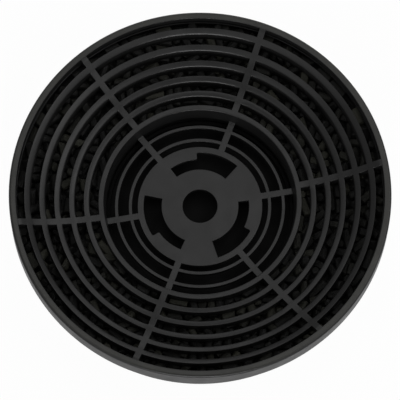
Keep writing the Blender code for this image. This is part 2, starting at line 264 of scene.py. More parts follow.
def dish_height(radius):
    """Height of the grille's face at a radius, or at each of many."""
    run = np.maximum(radius - DISH_FLAT, 0.0)
    return DISH_FLOOR + DISH_CURVE - np.sqrt(DISH_CURVE ** 2 - run ** 2)


def dish_slope(radius):
    """The dish's angle to the horizontal at a radius, or at each of many."""
    return np.arcsin(np.maximum(radius - DISH_FLAT, 0.0) / DISH_CURVE)


def face_height(radius):
    """Height of the ribs' and spokes' common face; each rib's middle is at its set height."""
    return np.minimum(dish_height(radius + RIB_WIDTH / 2), HIGHEST_FACE)


RIB_RADII = [FIRST_RIB - k * RIB_SPACING for k in range(RIB_COUNT)]
RIB_HEIGHTS = [dish_height(radius) for radius in RIB_RADII]
RECESS_TOP = RIB_HEIGHTS[-1]
HUB_TOP = RECESS_TOP - RECESS_DEPTH
print("rib tops in mm", [round(height / MM, 1) for height in RIB_HEIGHTS])

# %% [markdown]
# ## Front moulding: the grille's rings and columns
#
# On the real filter the front is one injection moulding. Its grid has two rings for each rib, one
# more for the bevel along the rib's inner edge, and a few in each gap, which bend the spokes along
# the dish. Each spoke is one column, as wide at the rim as at the hub, so the columns beside it
# give way. The spokes' outer ends rise to the rim's top, so that no step is left where they join.
#
# The bevel isn't cut. The ring at each rib's inner edge is lowered instead, and on the spokes,
# which run on over it, the ring stays where it is. The low light from the near side draws a bright
# line along the bevels that face it. The innermost rib has the recess's rounded mouth instead.

# %% Rings and columns of the dish
# Points nearer than TOUCH count as being at one place.
TOUCH = 0.01 * MM
SPOKE_COUNT = 6
SPOKE_WIDTH = 3.35 * MM
SPOKE_MARGIN = 0.001
SPOKE_END_HEIGHT = RIM_TOP - 0.15 * MM
SPOKE_END_RISES = (1.0, 0.85, 0.3)
RIM_OVERLAP = 0.5 * MM
RIM_APPROACH = 0.4 * MM
DISH_COLUMNS = 216
COLUMNS_PER_SPOKE = DISH_COLUMNS // SPOKE_COUNT
GAP_RINGS = 3
RECESS_MOUTH = 48.25 * MM
WALL_INSIDE = 47.28 * MM
WALL_THICKNESS = 1.8 * MM
WALL_LEAN = radians(7)
INNER_BEVEL = 0.66 * MM
INNER_BEVEL_TILT = radians(52)


def wall_radius(height):
    """Inner radius of the recess wall, which leans out above the hub and is upright below."""
    return WALL_INSIDE + max(height - HUB_TOP, 0.0) * tan(WALL_LEAN)


def dish_rings():
    """(radius, height) of each ring of the dish."""
    rings = [RIM_INSIDE + RIM_OVERLAP]
    start = RIM_INSIDE - RIM_APPROACH
    for outer in RIB_RADII:
        rings += [start + (outer - start) * k / (GAP_RINGS + 1) for k in range(GAP_RINGS + 2)]
        start = outer - RIB_WIDTH
        rings.append(start + INNER_BEVEL)
    rings.pop()
    heights = [float(face_height(radius)) for radius in rings]
    for ring, rise in enumerate(SPOKE_END_RISES):
        heights[ring] += rise * (SPOKE_END_HEIGHT - heights[ring])
    wall_top_outside = wall_radius(RECESS_TOP - RIB_HEIGHT) + WALL_THICKNESS
    return list(zip(rings, heights)) + [(wall_top_outside, RECESS_TOP), (RECESS_MOUTH, RECESS_TOP)]


def half_spoke(radius):
    """Half of a spoke's width as an angle at a radius."""
    return asin(SPOKE_WIDTH / 2 / radius)


def dish_angle(column, radius):
    """Angle of a column's edge: the first column of each sixth is a spoke of even width."""
    sixth, step = divmod(column, COLUMNS_PER_SPOKE)
    start = sixth * 2 * pi / SPOKE_COUNT
    spoke = half_spoke(radius)
    if step == 0:
        return start - spoke
    room = 2 * pi / SPOKE_COUNT - 2 * spoke
    return start + spoke + room * (step - 1) / (COLUMNS_PER_SPOKE - 1)


def drop_inner_edges(mesh):
    """Bevel each rib's inner edge by lowering it, except where a spoke runs on over it."""
    for vert in mesh.verts:
        radius = vert.co.xy.length
        turn = atan2(vert.co.y, vert.co.x) % (2 * pi / SPOKE_COUNT)
        if min(turn, 2 * pi / SPOKE_COUNT - turn) < half_spoke(radius) + SPOKE_MARGIN:
            continue
        for outer in RIB_RADII[:-1]:
            if abs(radius - (outer - RIB_WIDTH)) < TOUCH:
                steep = tan(INNER_BEVEL_TILT) - tan(dish_slope(radius + RIB_WIDTH / 2))
                vert.co.z -= INNER_BEVEL * steep


print("dish has", len(dish_rings()), "rings and", DISH_COLUMNS, "columns")

# %% [markdown]
# ## Front moulding: recess wall, and the grille as one skin
#
# The innermost rib carries the recess wall and the tube below it. Its underside is extruded twice
# more, first down the leaning wall and then straight to the floor, so the wall grows out of the rib
# without a joint. A wide bevel rounds the mouth of the recess, and a finer one every other edge.

# %% Recess wall and its mouth
TUBE_BOTTOM = 2.3 * MM
UNDER_RIB_REACH = RECESS_MOUTH + 1.0 * MM
WALL_SPLIT = WALL_INSIDE + WALL_THICKNESS / 2 + 0.5 * MM


def grow_recess_wall(mesh, below):
    """Lean the innermost rib's inside and extrude its underside down to the floor."""
    rib_bottom = RECESS_TOP - RIB_HEIGHT
    for vert in below:
        radius = hypot(vert.co.x, vert.co.y)
        if radius < RECESS_MOUTH + TOUCH:
            vert.co.xy = vert.co.xy * (wall_radius(rib_bottom) / radius)

    under_rib = []
    for face in mesh.faces:
        middle = face.calc_center_median()
        level = abs(middle.z - rib_bottom) < TOUCH
        if level and hypot(middle.x, middle.y) < UNDER_RIB_REACH:
            under_rib.append(face)
    for height in (HUB_TOP, TUBE_BOTTOM):
        swept = bmesh.ops.extrude_face_region(mesh, geom=under_rib)["geom"]
        left = [face for face in under_rib if face.is_valid]
        bmesh.ops.delete(mesh, geom=left, context="FACES")
        under_rib = [item for item in swept if isinstance(item, bmesh.types.BMFace)]
        for vert in (item for item in swept if isinstance(item, bmesh.types.BMVert)):
            radius = hypot(vert.co.x, vert.co.y)
            wanted = WALL_INSIDE + (WALL_THICKNESS if radius > WALL_SPLIT else 0.0)
            vert.co.xy = vert.co.xy * (wanted / radius)
            vert.co.z = height


def mouth_edges(mesh):
    """The edges round the top of the recess's mouth."""
    found = []
    for edge in mesh.edges:
        aside = max(abs(vert.co.xy.length - RECESS_MOUTH) for vert in edge.verts)
        if aside < TOUCH and min(vert.co.z for vert in edge.verts) > RECESS_TOP - TOUCH:
            found.append(edge)
    return found


# %% Dished grille
MOULD_ROUND = 0.28 * MM
MOUTH_ROUND = 0.6 * MM
MOUTH_SEGMENTS = 4


def make_dish():
    """Ribs, spokes, recess wall and tube as one closed skin."""
    rings = dish_rings()
    radii = [radius for radius, height in rings]
    heights = dict(rings)
    on_rib = []
    for outside, inside in zip(radii, radii[1:]):
        middle = (outside + inside) / 2
        on_rib.append(any(outer - RIB_WIDTH < middle < outer for outer in RIB_RADII))
    grid = RoundGrid(radii, DISH_COLUMNS)
    grid.cut(lambda gap, column: not on_rib[gap] and column % COLUMNS_PER_SPOKE != 0)
    grid.bend(dish_angle, lambda radius: heights[radius])
    mesh = grid.mesh
    drop_inner_edges(mesh)
    outlines, below = grid.thicken(RIB_HEIGHT)
    grow_recess_wall(mesh, below)

    mouth = mouth_edges(mesh)
    at_mouth = set(mouth)
    outlines = [edge for edge in outlines if edge.is_valid and edge not in at_mouth]
    round_edges(mesh, mouth, MOUTH_ROUND, MOUTH_SEGMENTS)
    round_edges(mesh, [edge for edge in outlines if edge.is_valid], MOULD_ROUND)
    return finish_mesh(mesh, "front_moulding")


front_moulding = make_dish()
print("dish faces", len(front_moulding.data.polygons))

# %% [markdown]
# ## Front moulding: rim
#
# The rim is a turned shape: a flat ring with a rounded shoulder, a skirt that hangs outside the
# tub's wall, and a lip inside it. The tub's wall snaps into the channel between them.

# %% Rim
RIM_STEPS = 216
RIM_PLATE = 2.0 * MM
COVER_RADIUS = 95.0 * MM
SHOULDER = 1.4 * MM
SKIRT_BOTTOM = 23.0 * MM
SKIRT_INSIDE = 93.7 * MM
SKIRT_ROUND = 0.4 * MM
LIP_OUTSIDE = 92.1 * MM
LIP_DEPTH = 6.6 * MM
LIP_DRAFT = 0.1 * MM
LIP_ROUND = 0.4 * MM
LIP_FOOT_ROUND = 0.45 * MM
BEAD_HEIGHT = 27.0 * MM
BEAD_HALF = 1.0 * MM
BEAD_DEPTH = 0.3 * MM


def snap_bead(radius):
    """Points of the snap bead, or of its groove, on a wall, from the top down."""
    return [
        (radius, BEAD_HEIGHT + BEAD_HALF),
        (radius + BEAD_DEPTH, BEAD_HEIGHT),
        (radius, BEAD_HEIGHT - BEAD_HALF),
    ]


def make_rim():
    """Flat ring, shoulder, skirt with its snap groove, channel and lip."""
    lip_foot = RIM_TOP - LIP_DEPTH
    outline = arc(COVER_RADIUS - SHOULDER, RIM_TOP - SHOULDER, SHOULDER, 0, 90, 6)
    outline += arc(RIM_INSIDE + LIP_ROUND, RIM_TOP - LIP_ROUND, LIP_ROUND, 90, 180, 4)
    outline.append((RIM_INSIDE - LIP_DRAFT, lip_foot + 2 * LIP_FOOT_ROUND))
    outline += arc(RIM_INSIDE, lip_foot + LIP_FOOT_ROUND, LIP_FOOT_ROUND, 100, 260, 6)
    outline += [
        (LIP_OUTSIDE, lip_foot),
        (LIP_OUTSIDE, RIM_TOP - RIM_PLATE),
        (SKIRT_INSIDE, RIM_TOP - RIM_PLATE),
        *snap_bead(SKIRT_INSIDE),
        (SKIRT_INSIDE, SKIRT_BOTTOM),
    ]
    foot = SKIRT_BOTTOM + SKIRT_ROUND
    outline += arc(COVER_RADIUS - SKIRT_ROUND, foot, SKIRT_ROUND, 270, 360, 3)
    mesh = bmesh.new()
    spin_line(mesh, outline, True, RIM_STEPS)
    return finish_mesh(mesh, "rim")


rim = make_rim()
print("rim faces", len(rim.data.polygons))

# %% [markdown]
# ## Front moulding: hub
#
# The hub is a flat disc with a hole for the motor's shaft and three keyhole slots: a bayonet lug
# drops into the wide part and turns into the narrow one. Six short spokes tie it to the recess
# wall over two thin rings. It is cut from a second round grid, whose columns stand where the slots
# start, step and end.

# %% Rings and columns of the hub
HUB_RADIUS = 31.4 * MM
HOLE_RADIUS = 8.7 * MM
SLOT_WIDE_OUTSIDE = 28.3 * MM
SLOT_NARROW_OUTSIDE = 24.6 * MM
SLOT_INSIDE = 19.4 * MM
SLOT_START = radians(38.8)
SLOT_STEP = radians(83.5)
THIN_RINGS = ((42.88 * MM, 41.18 * MM), (35.9 * MM, 34.2 * MM))
FOOT_FILLET = 1.2 * MM
FOOT_OVERLAP = 0.3 * MM
SLOT_COUNT = 3
HUB_KEY_COUNTS = (1, 12, 6, 1, 7, 11)
THIRD_COLUMNS = sum(HUB_KEY_COUNTS)
HUB_COLUMNS = SLOT_COUNT * THIRD_COLUMNS
SLOT_START_COLUMN = sum(HUB_KEY_COUNTS[:2])
SECOND_SPOKE_COLUMN = sum(HUB_KEY_COUNTS[:3])
SLOT_STEP_COLUMN = sum(HUB_KEY_COUNTS[:5])


def hub_angle(column, radius):
    """Angle of a column's edge, from the keys that bound the spokes and the slots."""
    spoke = half_spoke(max(radius, HUB_RADIUS))
    sixth = pi / 3
    keys = (-spoke, spoke, SLOT_START, sixth - spoke, sixth + spoke, SLOT_STEP, 2 * sixth - spoke)
    third, step = divmod(column, THIRD_COLUMNS)
    for key, after, count in zip(keys, keys[1:], HUB_KEY_COUNTS):
        if step < count:
            return third * 2 * sixth + key + (after - key) * step / count
        step -= count


def hub_rings():
    """(radius, height) of each ring of the hub, with a fillet where the spokes meet the wall."""
    foot_top = HUB_TOP + FOOT_FILLET
    foot = arc(WALL_INSIDE + FOOT_OVERLAP - FOOT_FILLET, foot_top, FOOT_FILLET, 0, -90, 4)
    rings = [(WALL_INSIDE + WALL_THICKNESS / 2, foot_top)] + foot
    flat = [radius for pair in THIN_RINGS for radius in pair]
    flat += [HUB_RADIUS, SLOT_WIDE_OUTSIDE, SLOT_NARROW_OUTSIDE, SLOT_INSIDE, HOLE_RADIUS]
    return rings + [(radius, HUB_TOP) for radius in flat]


def hub_is_open(middle, column):
    """Whether the cell at a middle radius and a column is an opening."""
    step = column % THIRD_COLUMNS
    on_spoke = step in (0, SECOND_SPOKE_COLUMN)
    if middle > HUB_RADIUS:
        on_ring = any(inner < middle < outer for outer, inner in THIN_RINGS)
        return not on_ring and not on_spoke
    if SLOT_NARROW_OUTSIDE < middle < SLOT_WIDE_OUTSIDE:
        return SLOT_START_COLUMN <= step < SLOT_STEP_COLUMN
    if SLOT_INSIDE < middle < SLOT_NARROW_OUTSIDE:
        return step >= SLOT_START_COLUMN
    return False


print("hub has", len(hub_rings()), "rings and", HUB_COLUMNS, "columns")


# %% Hub
PLATE = 2.4 * MM
# Edges within NEAR of a line count as on it, and edges bent by more than SHARP are rounded.
NEAR = 0.1 * MM
SAME_TURN = radians(0.5)
SHARP = radians(50)
SLOT_CORNER = 0.8 * MM
DISC_ROUND = 0.25 * MM
THIN_RING_ROUND = 0.42 * MM


def make_hub():
    """Hub disc, thin rings and short spokes as one closed skin."""
    rings = hub_rings()
    radii = [radius for radius, height in rings]
    heights = dict(rings)
    grid = RoundGrid(radii, HUB_COLUMNS)
    middles = [(a + b) / 2 for a, b in zip(radii, radii[1:])]
    grid.cut(lambda gap, column: hub_is_open(middles[gap], column))
    grid.bend(hub_angle, lambda radius: heights[radius])
    outlines, below = grid.thicken(PLATE)
    mesh = grid.mesh

    corners = (SLOT_NARROW_OUTSIDE, SLOT_WIDE_OUTSIDE)
    steps = []
    for edge in mesh.edges:
        start, end = (vert.co for vert in edge.verts)
        upright = abs(start.z - end.z) > PLATE / 2 and (start.xy - end.xy).length < TOUCH
        turn = atan2(start.y, start.x) % (2 * pi / SLOT_COUNT)
        at_step = abs(turn - SLOT_STEP) < SAME_TURN
        at_corner = any(abs(start.xy.length - corner) < NEAR for corner in corners)
        if upright and at_step and at_corner:
            steps.append(edge)
    round_edges(mesh, steps, SLOT_CORNER, 3)

    for inside, outside, radius, segments in (
        (0.0, HUB_RADIUS + NEAR, DISC_ROUND, 2),
        (HUB_RADIUS + NEAR, WALL_INSIDE, THIN_RING_ROUND, 3),
    ):
        top = []
        for edge in mesh.edges:
            level = min(vert.co.z for vert in edge.verts) > HUB_TOP - TOUCH
            turned = inside < edge.verts[0].co.xy.length < outside
            if level and turned and edge.calc_face_angle(0.0) > SHARP:
                top.append(edge)
        round_edges(mesh, top, radius, segments)
    return finish_mesh(mesh, "hub")


hub = make_hub()
print("hub faces", len(hub.data.polygons))
front_moulding = join_solids(front_moulding, rim, hub)
print("front moulding faces", len(front_moulding.data.polygons))

# %% [markdown]
# ## Rear moulding
#
# The tub holds the pellets. Its wall leans in below the skirt and turns into a flat floor with its
# own grille. The floor's middle is a closed disc, which shows dark through the hub's openings. The
# floor is again a cut grid, and the wall and the ring that locates the tube are turned outlines.

# %% Tub
FLOOR = 2.0 * MM
SHELL_WALL = 1.2 * MM
SHELL_OUTSIDE = 93.4 * MM
SHELL_DRAFT = radians(9)
SHELL_CORNER = 4.0 * MM
WALL_TOP = 32.7 * MM
FLOOR_COLUMNS = 216
REAR_RIB_WIDTH = 2.6 * MM
LAND = RIB_RADII[0] - REAR_RIB_WIDTH
FLOOR_ROUND = 0.3 * MM


def tub_corner(wall, base, radius):
    """Arc from the floor up to the leaning wall."""
    lean = degrees(SHELL_DRAFT)
    centre_z = base + radius
    centre_r = wall + centre_z * tan(SHELL_DRAFT) - radius / cos(SHELL_DRAFT)
    return arc(centre_r, centre_z, radius, -90, -lean, 6)


def make_tub():
    """Floor's edge, leaning wall and the upright wall with its snap bead."""
    outside_foot = SHELL_OUTSIDE - SKIRT_BOTTOM * tan(SHELL_DRAFT)
    inside_foot = outside_foot - SHELL_WALL / cos(SHELL_DRAFT)
    inside = tub_corner(inside_foot, FLOOR, SHELL_CORNER - SHELL_WALL)
    outline = [(LAND, FLOOR_ROUND)]
    outline += arc(LAND + FLOOR_ROUND, FLOOR_ROUND, FLOOR_ROUND, 210, 270, 2)
    outline += tub_corner(outside_foot, 0.0, SHELL_CORNER)
    outline += [
        (SHELL_OUTSIDE, SKIRT_BOTTOM),
        *snap_bead(SHELL_OUTSIDE)[::-1],
        (SHELL_OUTSIDE, WALL_TOP),
        (SHELL_OUTSIDE - SHELL_WALL, WALL_TOP),
        (SHELL_OUTSIDE - SHELL_WALL, SKIRT_BOTTOM),
    ]
    outline += inside[::-1] + [(LAND, FLOOR)]
    mesh = bmesh.new()
    spin_line(mesh, outline, True, FLOOR_COLUMNS)
    return finish_mesh(mesh, "rear_moulding")


tub = make_tub()
print("tub faces", len(tub.data.polygons))


# %% Floor of the tub
FLOOR_DISC = RIB_RADII[-1]
DISC_RINGS = [36.0 * MM, 24.0 * MM, 12.0 * MM, 0.0]
SMALLEST_SPOKE_RADIUS = 20.0 * MM
LAND_OVERLAP = 1.0 * MM


def make_floor():
    """The floor's ribs, spokes and closed disc, from a round grid."""
    radii = [LAND + LAND_OVERLAP, LAND]
    for outer in RIB_RADII[1:-1]:
        radii += [outer, outer - REAR_RIB_WIDTH]
    radii += [FLOOR_DISC] + DISC_RINGS
    grid = RoundGrid(radii, FLOOR_COLUMNS)
    windows = [k for k in range(1, len(radii)) if k % 2 == 1 and radii[k] > FLOOR_DISC]
    grid.cut(lambda gap, column: gap in windows and column % COLUMNS_PER_SPOKE != 0)
    grid.bend(
        lambda column, radius: dish_angle(column, max(radius, SMALLEST_SPOKE_RADIUS)),
        lambda radius: FLOOR,
    )
    outlines, below = grid.thicken(FLOOR)
    mesh = grid.mesh
    edges = [edge for edge in mesh.edges if edge.calc_face_angle() > SHARP]
    edges = [edge for edge in edges if abs(edge.verts[0].co.z - edge.verts[1].co.z) < NEAR]
    edges = [edge for edge in edges if edge.verts[0].co.xy.length < LAND + NEAR]
    round_edges(mesh, edges, FLOOR_ROUND)
    return finish_mesh(mesh, "floor")


tub_floor = make_floor()
print("floor faces", len(tub_floor.data.polygons))


# %% Locating ring
RING_CLEARANCE = 0.3 * MM
RING_THICKNESS = 1.8 * MM
RING_HEIGHT = 3.0 * MM


def make_locating_ring():
    """The low ring that the front moulding's tube fits over."""
    outer = WALL_INSIDE - RING_CLEARANCE
    inner = outer - RING_THICKNESS
    top = FLOOR + RING_HEIGHT
    mesh = bmesh.new()
    outline = [(inner, FLOOR / 2), (outer, FLOOR / 2)]
    outline += arc(outer - FLOOR_ROUND, top - FLOOR_ROUND, FLOOR_ROUND, 0, 90, 2)
    outline += arc(inner + FLOOR_ROUND, top - FLOOR_ROUND, FLOOR_ROUND, 90, 180, 2)
    spin_line(mesh, outline, True, FLOOR_COLUMNS)
    return finish_mesh(mesh, "locating_ring")


rear_moulding = join_solids(tub, tub_floor, make_locating_ring())
print("rear moulding faces", len(rear_moulding.data.polygons))

# %% [markdown]
# ## Carbon pellets
#
# The charge is activated carbon pressed into short rods a little over 4 mm thick, which break where
# they like. A rigid body simulation could pour them, but a few layers against each grille are all
# that ever shows, so a small settling loop does it: each rod is a line with a radius, rods that
# overlap push each other apart, and all are drawn to the grille until they rest against it and rise
# a little into its openings. Under them a dark core fills the bed.

# %% Where pellets may lie
BED_INSIDE = WALL_INSIDE + WALL_THICKNESS
BED_OUTSIDE = SHELL_OUTSIDE - SHELL_WALL
BED_CLEARANCE = 0.2 * MM
RISE_INTO_GAP = 0.9 * MM
REAR_BED_OUTSIDE = 84.5 * MM


def ceiling(radius):
    """How high carbon may reach: the grille's underside, and a little higher in its openings."""
    share = (FIRST_RIB - radius) / RIB_SPACING % 1.0
    open_share = np.clip((share - RIB_WIDTH / RIB_SPACING) / (1 - RIB_WIDTH / RIB_SPACING), 0, 1)
    under = face_height(radius) - RIB_HEIGHT - BED_CLEARANCE
    return under + RISE_INTO_GAP * np.sin(pi * open_share) ** 2


def hold_between(points, rod_radius, inner, outer):
    """Move points until they stand clear of an inner and an outer wall; return their radii."""
    radius = np.hypot(points[:, 0], points[:, 1])
    held = np.clip(radius, inner + rod_radius, outer - rod_radius)
    points[:, :2] *= (held / radius)[:, None]
    return held


def hold_front(ends, rod_radius):
    """Keep rods under the front grille and between the tube and the tub's wall."""
    for end in (0, 1):
        radius = hold_between(ends[:, end], rod_radius, BED_INSIDE, BED_OUTSIDE)
        lean = np.cos(dish_slope(np.minimum(radius, RIM_INSIDE)))
        ends[:, end, 2] = np.minimum(ends[:, end, 2], ceiling(radius) - rod_radius / lean)
        ends[:, end, 2] = np.maximum(ends[:, end, 2], FLOOR + BED_CLEARANCE + rod_radius)
    middle = ends.mean(axis=1)
    radius = np.hypot(middle[:, 0], middle[:, 1])
    over = middle[:, 2] - ceiling(radius) + rod_radius / np.cos(dish_slope(radius))
    ends[:, :, 2] -= np.maximum(over, 0.0)[:, None]


def hold_rear(ends, rod_radius):
    """Keep rods above the floor and between the tube and the tub's corner."""
    for end in (0, 1):
        hold_between(ends[:, end], rod_radius, BED_INSIDE, REAR_BED_OUTSIDE)
        ends[:, end, 2] = np.maximum(ends[:, end, 2], FLOOR + BED_CLEARANCE + rod_radius)


# %% Rods laid at random
PELLET_RADII = (1.95 * MM, 2.45 * MM)
PELLET_LENGTH = (3.0 * MM, 7.2 * MM)
PELLET_RISE = 0.42
LAYER_DEPTH = 2.9 * MM
FIRST_LAYER = 0.6
LAYERS = 2.6


def scatter(count, outer, height_of, chance):
    """Rods laid at random as (ends, radii, lengths of their middle lines)."""
    radius = np.sqrt(chance.uniform(BED_INSIDE ** 2, outer ** 2, count))
    turn = chance.uniform(0, 2 * pi, count)
    depth = LAYER_DEPTH * (FIRST_LAYER + LAYERS * np.arange(count) / count)
    places = np.stack([radius * np.cos(turn), radius * np.sin(turn), height_of(radius, depth)], 1)
    heading = chance.uniform(0, pi, count)
    rise = chance.normal(0.0, PELLET_RISE, count)
    flat = np.cos(rise)
    along = np.stack([np.cos(heading) * flat, np.sin(heading) * flat, np.sin(rise)], 1)
    rod_radius = chance.uniform(*PELLET_RADII, count)
    length = chance.uniform(*PELLET_LENGTH, count)
    half = along * length[:, None] / 2
    return np.stack([places - half, places + half], 1), rod_radius, length


# %% Settling loop
PAIR_REACH = 9.5 * MM
PAIRS_EVERY = 6
PUSH = 0.35
DRAW_SHARE = 0.7
# Guards against dividing by nothing, for lines that run side by side or meet.
LEAST_SPREAD = 1e-14
LEAST_DISTANCE = 1e-7


def near_pairs(ends):
    """Pairs of rods that are close enough to touch soon."""
    middles = ends.mean(axis=1)
    tree = KDTree(len(middles))
    for index, middle in enumerate(middles):
        tree.insert(middle, index)
    tree.balance()
    pairs = []
    for index, middle in enumerate(middles):
        for point, other, distance in tree.find_range(middle, PAIR_REACH):
            if other > index:
                pairs.append((index, other))
    return np.array(pairs).T


def nearest_shares(a0, a1, b0, b1):
    """Shares along two sets of lines where each pair comes nearest."""
    d1, d2, r = a1 - a0, b1 - b0, a0 - b0
    a, e, f = (d1 * d1).sum(1), (d2 * d2).sum(1), (d2 * r).sum(1)
    c, b = (d1 * r).sum(1), (d1 * d2).sum(1)
    spread = np.maximum(a * e - b * b, LEAST_SPREAD)
    s = np.clip((b * f - c * e) / spread, 0, 1)
    t = np.clip((b * s + f) / e, 0, 1)
    s = np.clip((b * t - c) / a, 0, 1)
    return s[:, None], t[:, None]


def settle(rods, hold, draw, rounds):
    """Push overlapping rods apart while they are drawn to the grille and held in the bed."""
    ends, rod_radius, length = rods
    for turn in range(rounds):
        if turn % PAIRS_EVERY == 0:
            first, second = near_pairs(ends)
        a, b = ends[first], ends[second]
        s, t = nearest_shares(a[:, 0], a[:, 1], b[:, 0], b[:, 1])
        gap = a[:, 0] + (a[:, 1] - a[:, 0]) * s - b[:, 0] - (b[:, 1] - b[:, 0]) * t
        distance = np.linalg.norm(gap, axis=1)
        overlap = np.maximum(rod_radius[first] + rod_radius[second] - distance, 0.0)
        push = gap * (PUSH * overlap / np.maximum(distance, LEAST_DISTANCE))[:, None]
        for rod, share, side in ((first, s, 1), (second, t, -1)):
            np.add.at(ends[:, 0], rod, side * push * (1 - share))
            np.add.at(ends[:, 1], rod, side * push * share)
        ends[:, :, 2] += draw * (turn < rounds * DRAW_SHARE)
        middle = ends.mean(axis=1)
        along = ends[:, 1] - ends[:, 0]
        half = along * (length / np.linalg.norm(along, axis=1) / 2)[:, None]
        ends[:, 0], ends[:, 1] = middle - half, middle + half
        hold(ends, rod_radius)
    return overlap.max()


# %% Pellet meshes
PELLET_SIDES = 8
PELLET_TAPER = (0.9, 1.0)
PELLET_ENDS = 1.3
END_SLANT = 0.2
END_BEVEL = 0.35 * MM
PELLET_SMOOTH_ANGLE = 40.0
SHADE_POWER = 6


def make_pellets(name, rods, chance):
    """One mesh of short rods with slanting broken ends; each keeps its own shade."""
    mesh = bmesh.new()
    shade = mesh.verts.layers.float.new("shade")
    for (start, end), rod_radius, length in zip(*rods):
        start, end = Vector(start), Vector(end)
        middle, along = (start + end) / 2, (end - start).normalized()
        turn = along.to_track_quat("Z", "Y").to_matrix()
        made = bmesh.ops.create_cone(
            mesh,
            cap_ends=True,
            segments=PELLET_SIDES,
            radius1=rod_radius,
            radius2=rod_radius * chance.uniform(*PELLET_TAPER),
            depth=length + rod_radius * PELLET_ENDS,
            matrix=Matrix.Translation(middle) @ turn.to_4x4(),
        )["verts"]
        slants = []
        for side in range(2):
            slant = Vector((chance.normal(0, END_SLANT), chance.normal(0, END_SLANT), 0))
            slants.append(turn @ slant)
        own_shade = chance.uniform(0, 1) ** SHADE_POWER
        for vert in made:
            out = vert.co - middle
            slant = slants[0] if out.dot(along) > 0 else slants[1]
            vert.co += along * out.dot(slant)
            vert[shade] = own_shade
    caps = [face for face in mesh.faces if len(face.verts) == PELLET_SIDES]
    ends = list(dict.fromkeys(edge for face in caps for edge in face.edges))
    round_edges(mesh, ends, END_BEVEL, 1)
    return finish_mesh(mesh, name, PELLET_SMOOTH_ANGLE)


# %% Pour the pellets
SEED = 14
FRONT_COUNT, FRONT_ROUNDS = 820, 90
REAR_COUNT, REAR_ROUNDS = 600, 60
DRAW = 0.12 * MM


def pour(name, rods, hold, draw, rounds, chance):
    """Settle rods and make them one piece."""
    overlap = settle(rods, hold, draw, rounds)
    print(name, len(rods[1]), "rods, largest overlap in mm", round(overlap / MM, 2))
    return make_pellets(name, rods, chance)


chance = np.random.default_rng(SEED)
rods = scatter(FRONT_COUNT, BED_OUTSIDE, lambda radius, depth: ceiling(radius) - depth, chance)
pellets_front = pour("pellets_front", rods, hold_front, DRAW, FRONT_ROUNDS, chance)
rods = scatter(REAR_COUNT, REAR_BED_OUTSIDE, lambda radius, depth: FLOOR + depth, chance)
pellets_rear = pour("pellets_rear", rods, hold_rear, -DRAW, REAR_ROUNDS, chance)

# %% [markdown]
# ## Core of the bed
#
# Nobody sees the middle of the charge, so one dark turned shape fills it, a few millimetres inside
# the outer pellets.

# %% Core of the bed
CORE_INSET = 4.6 * MM
CORE_GAP = 0.5 * MM
CORE_LEAST = 0.6 * MM
CORE_FOOT = SHELL_OUTSIDE - 5.5 * MM
CORE_RINGS = 10
CORE_STEPS = 108


def make_core():
    """A turned body under the pellets, clear of both mouldings."""
    inner = BED_INSIDE + CORE_GAP
    outer = BED_OUTSIDE - CORE_GAP
    top = [inner + (outer - inner) * k / CORE_RINGS for k in range(CORE_RINGS + 1)]
    lowest = FLOOR + CORE_INSET + CORE_LEAST
    outline = [(r, max(dish_height(r) - RIB_HEIGHT - CORE_INSET, lowest)) for r in top]
    outline += [(outer, SKIRT_BOTTOM)]
    outline += [(CORE_FOOT, FLOOR + CORE_INSET), (inner, FLOOR + CORE_INSET)]
    mesh = bmesh.new()
    spin_line(mesh, outline, True, CORE_STEPS)
    return finish_mesh(mesh, "bed_core")


bed_core = make_core()
print("core faces", len(bed_core.data.polygons))

# %% [markdown]
# ## Finishes
#
# Image textures would have to be wrapped on, so every finish here is made of noises on Object
# coordinates, which cover a piece from all sides at its true scale. A few helpers keep the node
# trees short.

# %% Helpers for finishes
def grey(value):
    """A neutral colour."""
    return (value, value, value, 1.0)


def add_node(tree, kind, **settings):
    """A new node with its settings and its plain socket values."""
    made = tree.nodes.new(kind)
    for key, value in settings.items():
        if key in made.inputs:
            made.inputs[key].default_value = value
        else:
            setattr(made, key, value)
    return made


def new_finish(name):
    """A new material with its tree, its shader and the piece's own coordinates."""
    material = bpy.data.materials.new(name + "_finish")
    material.use_nodes = True
    tree = material.node_tree
    coordinates = add_node(tree, "ShaderNodeTexCoord").outputs["Object"]
    return material, tree, tree.nodes["Principled BSDF"], coordinates


def noise(tree, coordinates, scale, detail=2.0, roughness=0.5):
    """A noise texture of a given scale in the object's own metres."""
    made = add_node(tree, "ShaderNodeTexNoise", Scale=scale, Detail=detail, Roughness=roughness)
    tree.links.new(coordinates, made.inputs["Vector"])
    return made.outputs["Fac"]


def ramp(tree, value, start, end, low=0.0, high=1.0):
    """A value that goes from low to high while another goes from start to end."""
    made = add_node(tree, "ShaderNodeMapRange")
    made.inputs["From Min"].default_value = start
    made.inputs["From Max"].default_value = end
    made.inputs["To Min"].default_value = low
    made.inputs["To Max"].default_value = high
    tree.links.new(value, made.inputs["Value"])
    return made.outputs["Result"]


def ranged(tree, value, low, high):
    """Stretch the middle of a noise to a range."""
    return ramp(tree, value, 0.3, 0.7, low, high)


def product(tree, first, second):
    """Two values multiplied."""
    made = add_node(tree, "ShaderNodeMath", operation="MULTIPLY")
    tree.links.new(first, made.inputs[0])
    tree.links.new(second, made.inputs[1])
    return made.outputs[0]


def blended(tree, share, first, second):
    """The first colour, or another node's colour, turned into the second by a share."""
    mix = add_node(tree, "ShaderNodeMix", data_type="RGBA")
    tree.links.new(share, mix.inputs["Factor"])
    if isinstance(first, bpy.types.NodeSocket):
        tree.links.new(first, mix.inputs["A"])
    else:
        mix.inputs["A"].default_value = first
    mix.inputs["B"].default_value = second
    return mix.outputs["Result"]


